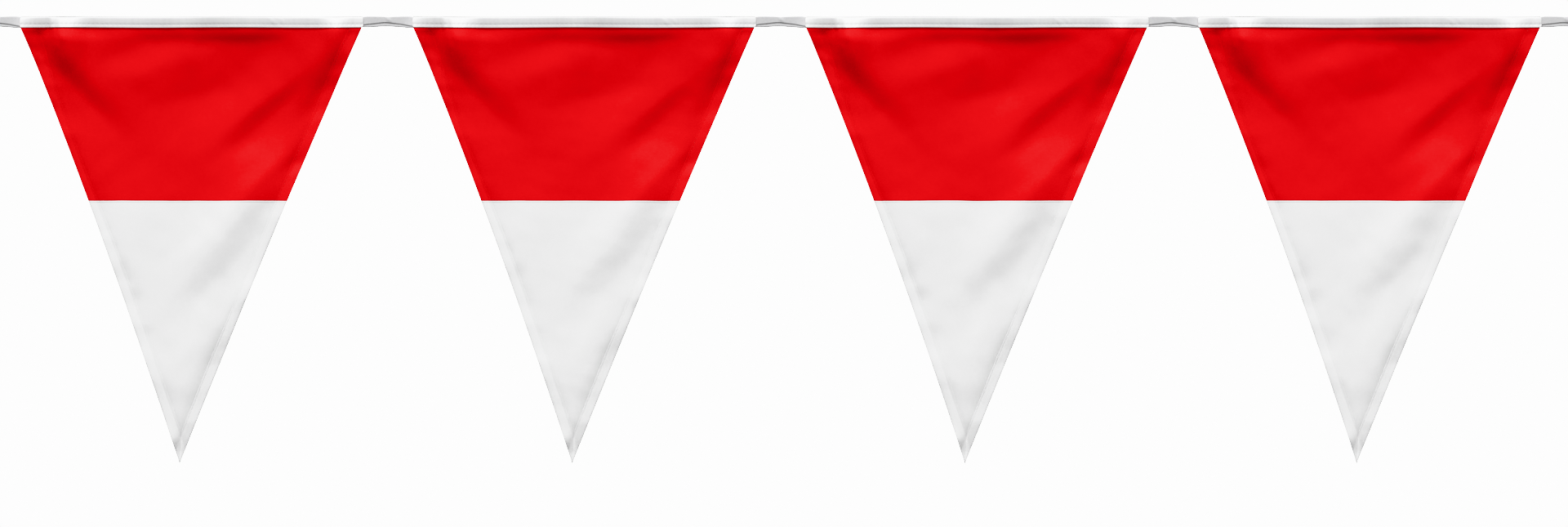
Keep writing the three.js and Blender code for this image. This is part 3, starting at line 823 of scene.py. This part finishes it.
def printed_thread():
    """The hems' thread, printed together with the cloth"""
    nodes = Nodes("printed thread")
    paler = {0: 0.12, 6: print_colour(nodes), 7: (0.9, 0.9, 0.9, 1)}
    colour = nodes.add("ShaderNodeMix", paler, data_type="RGBA")
    body = nodes.add("ShaderNodeBsdfPrincipled", {
        "Base Color": colour.outputs[2], "Roughness": 0.55, "Specular IOR Level": 0.2,
    })
    return nodes.finish(body.outputs[0])


def floor_paint():
    nodes = Nodes("pale floor")
    noise = nodes.add("ShaderNodeTexNoise", {"Vector": nodes.place(), "Scale": 3.0, "Detail": 2.0})
    colour = nodes.ramp(noise.outputs[0], ((0.3, (0.78, 0.78, 0.78)), (0.7, (0.8, 0.8, 0.8))))
    body = nodes.add("ShaderNodeBsdfPrincipled", {
        "Base Color": colour, "Roughness": 0.9, "Specular IOR Level": 0.1,
    })
    return nodes.finish(body.outputs[0])


def make_camera():
    data = bpy.data.cameras.new("camera")
    data.lens = LENS
    data.sensor_width = SENSOR
    data.clip_end = 100
    camera = bpy.data.objects.new("camera", data)
    camera.location = (VIEW_X, -VIEW_WIDTH * LENS / SENSOR, VIEW_Z)
    camera.rotation_euler = (math.pi / 2, 0, 0)
    bpy.context.collection.objects.link(camera)
    bpy.context.scene.camera = camera


def add_sun(name, comes_from, strength, angle):
    data = bpy.data.lights.new(name, "SUN")
    data.energy = strength
    data.angle = angle
    light = bpy.data.objects.new(name, data)
    steep = math.atan2(math.hypot(comes_from[0], comes_from[1]), comes_from[2])
    turn = math.atan2(comes_from[1], comes_from[0]) + math.pi / 2
    light.rotation_euler = (steep, 0, turn)
    bpy.context.collection.objects.link(light)


def make_studio():
    """A pale floor far below the string, soft light from above and a white surround"""
    add_sun("key light", **KEY)
    add_sun("back light", **BACK)
    world = bpy.data.worlds.new("white surround")
    world.use_nodes = True
    tree = world.node_tree
    tree.nodes.clear()
    seen = tree.nodes.new("ShaderNodeBackground")
    seen.inputs["Color"].default_value = (1, 1, 1, 1)
    seen.inputs["Strength"].default_value = SURROUND_SEEN
    lighting = tree.nodes.new("ShaderNodeBackground")
    lighting.inputs["Color"].default_value = (1, 1, 1, 1)
    lighting.inputs["Strength"].default_value = SURROUND_LIGHT
    path = tree.nodes.new("ShaderNodeLightPath")
    mix = tree.nodes.new("ShaderNodeMixShader")
    output = tree.nodes.new("ShaderNodeOutputWorld")
    tree.links.new(path.outputs["Is Camera Ray"], mix.inputs[0])
    tree.links.new(lighting.outputs[0], mix.inputs[1])
    tree.links.new(seen.outputs[0], mix.inputs[2])
    tree.links.new(mix.outputs[0], output.inputs[0])
    bpy.context.scene.world = world
    below = (0, 0, FLOOR_Z)
    bpy.ops.mesh.primitive_circle_add(vertices=96, radius=FLOOR_RADIUS, fill_type="NGON", location=below)
    floor = bpy.context.object
    floor.name = "floor"
    floor.data.materials.append(floor_paint())
    floor.visible_diffuse = False
    bpy.context.scene.view_settings.view_transform = "Khronos PBR Neutral"


def dress(piece, material, node):
    piece.data.materials.append(material)
    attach(piece, "root")
    if node:
        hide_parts(node)
    return piece


def make_flags(materials):
    for n, flag in enumerate(FLAG_ROWS, start=1):
        middle = heading_middle(n)
        cloth = thin_sheet(f"flag_cloth_{n}", flag_grid(flag), FLAG_SHEET, middle)
        dress(cloth, materials["flag"], f"flag_{n}")
        seams = [
            hem_seam(flag, corner, hem, inwards, backside)
            for corner, hem, inwards in ((LEFT_CORNER, LEFT_HEM, 1), (RIGHT_CORNER, RIGHT_HEM, -1))
            for backside in (False, True)
        ]
        sewing = joined(f"hem_stitches_{n}", seams, middle)
        dress(sewing, materials["hem thread"], None)


def make_headings(materials):
    for n, flag in enumerate(FLAG_ROWS, start=1):
        middle = heading_middle(n)
        grid = heading_grid(flag)
        cloth = thin_sheet(f"heading_cloth_{n}", grid, HEADING_SHEET, middle)
        dress(cloth, materials["heading"], f"heading_{n}")
        seams = [heading_seam(grid, backside) for backside in (False, True)]
        sewing = joined(f"heading_stitches_{n}", seams, middle)
        dress(sewing, materials["thread"], None)


def make_tape(materials):
    cloth = thin_sheet("tape_cloth", tape_grid(), TAPE_SHEET, 0)
    dress(cloth, materials["tape"], "tape")


make_camera()
make_studio()
MATERIALS = {
    "flag": flag_cloth(), "heading": heading_satin(), "tape": tape_cloth(),
    "thread": thread(), "hem thread": printed_thread(),
}
make_tape(MATERIALS)
make_headings(MATERIALS)
make_flags(MATERIALS)
